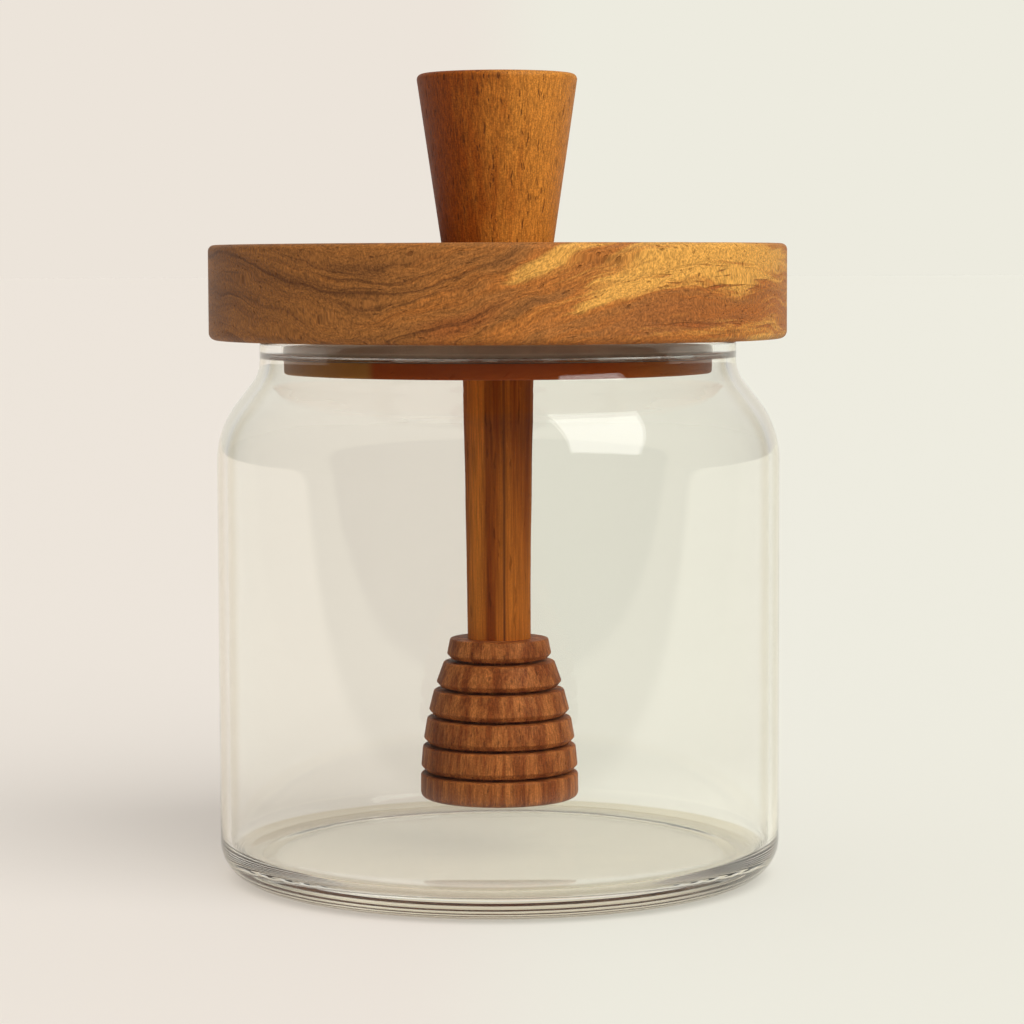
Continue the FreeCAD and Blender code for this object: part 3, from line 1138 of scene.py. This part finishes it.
def floor_material(look):
    """A pale floor that keeps the jar's shadow and throws little light back up, with painted
    shadow round the jar's foot and painted light near the jar where the glass shows it.
    """
    material, graph, point = new_material("Pale floor")
    x, y, _ = graph.split(point)
    tone = tone_across(graph, graph.math("MULTIPLY", x, MM), look)
    path = graph.add("ShaderNodeLightPath").outputs
    light = look.key_strength * math.sin(look.key_height) / math.pi + look.fill
    share = [1.0 / (light * part) for part in LIGHT_COLOUR] + [1.0]
    matched = graph.mix(1.0, tone, share, "MULTIPLY")
    reach = graph.vector_length(graph.join(x, y, 0.0))
    # Painted light: seen through the glass, the floor is up to 18% lighter near the jar.
    painted_glow_near_jar = graph.ramp(reach, 60.0, 160.0, 0.18, 0.01)
    level = graph.math("ADD", 1.0, graph.math("MULTIPLY", path["Is Transmission Ray"], painted_glow_near_jar))
    matched = graph.shade(matched, level)
    # Painted shadow: the floor is darker in a ring round the jar's foot.
    from_foot = graph.math("ABSOLUTE", graph.math("SUBTRACT", reach, FOOT_RADIUS))
    painted_contact_shadow = graph.ramp(from_foot, 6.0, 1.5, 1.0, 0.78)
    matched = graph.shade(matched, painted_contact_shadow)
    in_front = graph.ramp(y, -185.0, -140.0, 0.06, 1.0)
    mirrored = graph.shade(matched, in_front)
    reflected = graph.math("GREATER_THAN", path["Glossy Depth"], 0.5)
    base = graph.mix(reflected, matched, mirrored)
    bounced = graph.math("GREATER_THAN", path["Diffuse Depth"], 0.5)
    base = graph.mix(bounced, base, BOUNCED_TONE)
    shader = graph.add("ShaderNodeBsdfDiffuse", {"Color": base})
    lit = [light * part for part in LIGHT_COLOUR] + [1.0]
    even = graph.add("ShaderNodeEmission", {"Color": graph.mix(1.0, base, lit, "MULTIPLY")})
    both = graph.add(
        "ShaderNodeMixShader", {0: look.floor_evenness, 1: shader.outputs[0], 2: even.outputs[0]}
    )
    graph.finish(both)
    return material


def softbox_material(look):
    """The softbox that glass and oiled wood mirror."""
    material, graph, _ = new_material("Softbox")
    path = graph.add("ShaderNodeLightPath").outputs
    shown = graph.math("LESS_THAN", path["Diffuse Depth"], 0.5)
    strength = graph.math("MULTIPLY", shown, look.softbox_strength)
    shader = graph.add(
        "ShaderNodeEmission", {"Color": (1.0, 0.99, 0.97, 1.0), "Strength": strength}
    )
    graph.finish(shader)
    return material


def facing_square(centre, target, width, height, turn):
    """Corners of a rectangle at centre that faces target, turned from upright."""
    away = (centre - target).normalized()
    side = Vector((0, 0, 1)).cross(away).normalized()
    side.rotate(Quaternion(away, turn))
    up = away.cross(side)
    corners = [(-1, -1), (1, -1), (1, 1), (-1, 1)]
    return [centre + side * a * width / 2 + up * b * height / 2 for a, b in corners]


def toward(azimuth, height):
    """The way to something at that turn, rightwards from the front, and that height."""
    return Vector(
        (
            math.sin(azimuth) * math.cos(height),
            -math.cos(azimuth) * math.cos(height),
            math.sin(height),
        )
    )


# ------------------------------------------------------------------ operators


class HONEYJAR_OT_glass(bpy.types.Operator):
    """Blow the clear glass jar."""

    bl_idname = "honeyjar.glass"
    bl_label = "Glass jar"

    def execute(self, context):
        settings = context.scene.honey_jar
        jar = turned_piece(
            "jar_glass",
            glass_outline(settings.glass),
            clear_glass(settings.finishes),
            Segments=256,
            **{
                "Ripple Depth": settings.glass.waviness,
                "Ripple Fineness": (60.0, 60.0, 90.0),
                "Seed": 3.0,
            },
        )
        install(jar, "glass_jar")
        return {"FINISHED"}


class HONEYJAR_OT_lid(bpy.types.Operator):
    """Turn the lid with its plug."""

    bl_idname = "honeyjar.lid"
    bl_label = "Lid"

    def execute(self, context):
        settings = context.scene.honey_jar
        lid = turned_piece(
            "lid_turned",
            lid_outline(settings.lid),
            lid_wood(settings.finishes),
            Segments=368,
            **{
                "Ripple Depth": settings.lid.ripple,
                "Ripple Centre": (0.034, -0.036, 0.1035),
                "Ripple Reach": 0.02,
                "Ripple Fineness": (150.0, 150.0, 1300.0),
                "Seed": 5.0,
            },
        )
        install(lid, "lid")
        return {"FINISHED"}


class HONEYJAR_OT_seal(bpy.types.Operator):
    """Mould the silicone seal."""

    bl_idname = "honeyjar.seal"
    bl_label = "Seal"

    def execute(self, context):
        settings = context.scene.honey_jar
        seal = turned_piece(
            "lid_seal", seal_outline(settings.lid), silicone(settings.finishes), Segments=256
        )
        install(seal, "seal_ring")
        return {"FINISHED"}


class HONEYJAR_OT_knob(bpy.types.Operator):
    """Turn the knob."""

    bl_idname = "honeyjar.knob"
    bl_label = "Knob"

    def execute(self, context):
        settings = context.scene.honey_jar
        knob = turned_piece(
            "lid_knob", knob_outline(settings.knob), knob_wood(settings.finishes), Segments=192
        )
        install(knob, "knob")
        return {"FINISHED"}


class HONEYJAR_OT_dipper(bpy.types.Operator):
    """Turn the dipper's stem and its ringed head."""

    bl_idname = "honeyjar.dipper"
    bl_label = "Dipper"

    def execute(self, context):
        settings = context.scene.honey_jar
        sizes = settings.dipper
        stem = turned_piece(
            "dipper_handle",
            stem_outline(sizes, head_top(sizes)),
            stem_wood(settings.finishes),
            Segments=128,
        )
        install(stem, "dipper_stem")
        head = turned_piece(
            "dipper_rings", head_outline(sizes), head_wood(settings.finishes), Segments=192
        )
        install(head, "dipper_head")
        return {"FINISHED"}


class HONEYJAR_OT_stage(bpy.types.Operator):
    """Set up the floor, the lights and the camera."""

    bl_idname = "honeyjar.stage"
    bl_label = "Stage"

    def execute(self, context):
        scene = context.scene
        look = scene.honey_jar.stage
        scene.view_settings.view_transform = "Standard"
        scene.cycles.max_bounces = 64
        scene.cycles.glossy_bounces = 48
        scene.cycles.transmission_bounces = 64
        add_world(look)
        reach, drop = 30.0, -0.05 * MM
        ways = [(-1, -1), (1, -1), (1, 1), (-1, 1)]
        corners = [(reach * a, reach * b, drop) for a, b in ways]
        add_plane("floor", corners, floor_material(look))

        way = toward(look.key_azimuth, look.key_height)
        lamp = bpy.data.lights.new("Key", "SUN")
        lamp.energy = look.key_strength
        lamp.angle = look.key_spread
        lamp.color = LIGHT_COLOUR
        key = bpy.data.objects.new("Key", lamp)
        key.rotation_euler = (-way).to_track_quat("-Z", "Y").to_euler()
        key.visible_glossy = False
        key.visible_transmission = False
        scene.collection.objects.link(key)

        target = Vector((0, 0, look.softbox_target))
        away = toward(look.softbox_azimuth, look.softbox_height) * look.softbox_distance
        corners = facing_square(target + away, target, *look.softbox_size, look.softbox_turn)
        softbox = add_plane("softbox", corners, softbox_material(look))
        softbox.visible_camera = False
        softbox.visible_diffuse = False
        softbox.visible_shadow = False

        camera = bpy.data.cameras.new("Camera")
        camera.sensor_width = 36.0
        camera.lens = look.lens
        camera.clip_start = 0.01
        camera.clip_end = 100.0
        holder = bpy.data.objects.new("Camera", camera)
        holder.location = (look.camera_side, -look.distance, look.camera_height)
        holder.rotation_mode = "XYZ"
        holder.rotation_euler = (math.radians(90) - look.camera_tilt, 0.0, 0.0)
        scene.collection.objects.link(holder)
        bpy.context.view_layer.update()
        holder.rotation_euler.rotate_axis("Z", -look.camera_roll)
        scene.camera = holder
        return {"FINISHED"}


class VIEW3D_PT_honey_jar(bpy.types.Panel):
    """Buttons that make the honey jar."""

    bl_label = "Honey jar"
    bl_idname = "VIEW3D_PT_honey_jar"
    bl_space_type = "VIEW_3D"
    bl_region_type = "UI"
    bl_category = "Honey jar"

    def draw(self, context):
        for operator in OPERATORS:
            self.layout.operator(operator.bl_idname)


GROUPS = (GlassSizes, LidSizes, KnobSizes, DipperSizes, Finishes, StageLook, HoneyJarSettings)
OPERATORS = (
    HONEYJAR_OT_stage,
    HONEYJAR_OT_glass,
    HONEYJAR_OT_lid,
    HONEYJAR_OT_seal,
    HONEYJAR_OT_knob,
    HONEYJAR_OT_dipper,
)
CLASSES = GROUPS + OPERATORS + (VIEW3D_PT_honey_jar,)


def register():
    for item in CLASSES:
        bpy.utils.register_class(item)
    bpy.types.Scene.honey_jar = PointerProperty(type=HoneyJarSettings)


def unregister():
    del bpy.types.Scene.honey_jar
    for item in reversed(CLASSES):
        bpy.utils.unregister_class(item)


def main():
    register()
    bpy.ops.honeyjar.stage()
    bpy.ops.honeyjar.glass()
    bpy.ops.honeyjar.lid()
    bpy.ops.honeyjar.seal()
    bpy.ops.honeyjar.knob()
    bpy.ops.honeyjar.dipper()


if __name__ == "__main__":
    main()
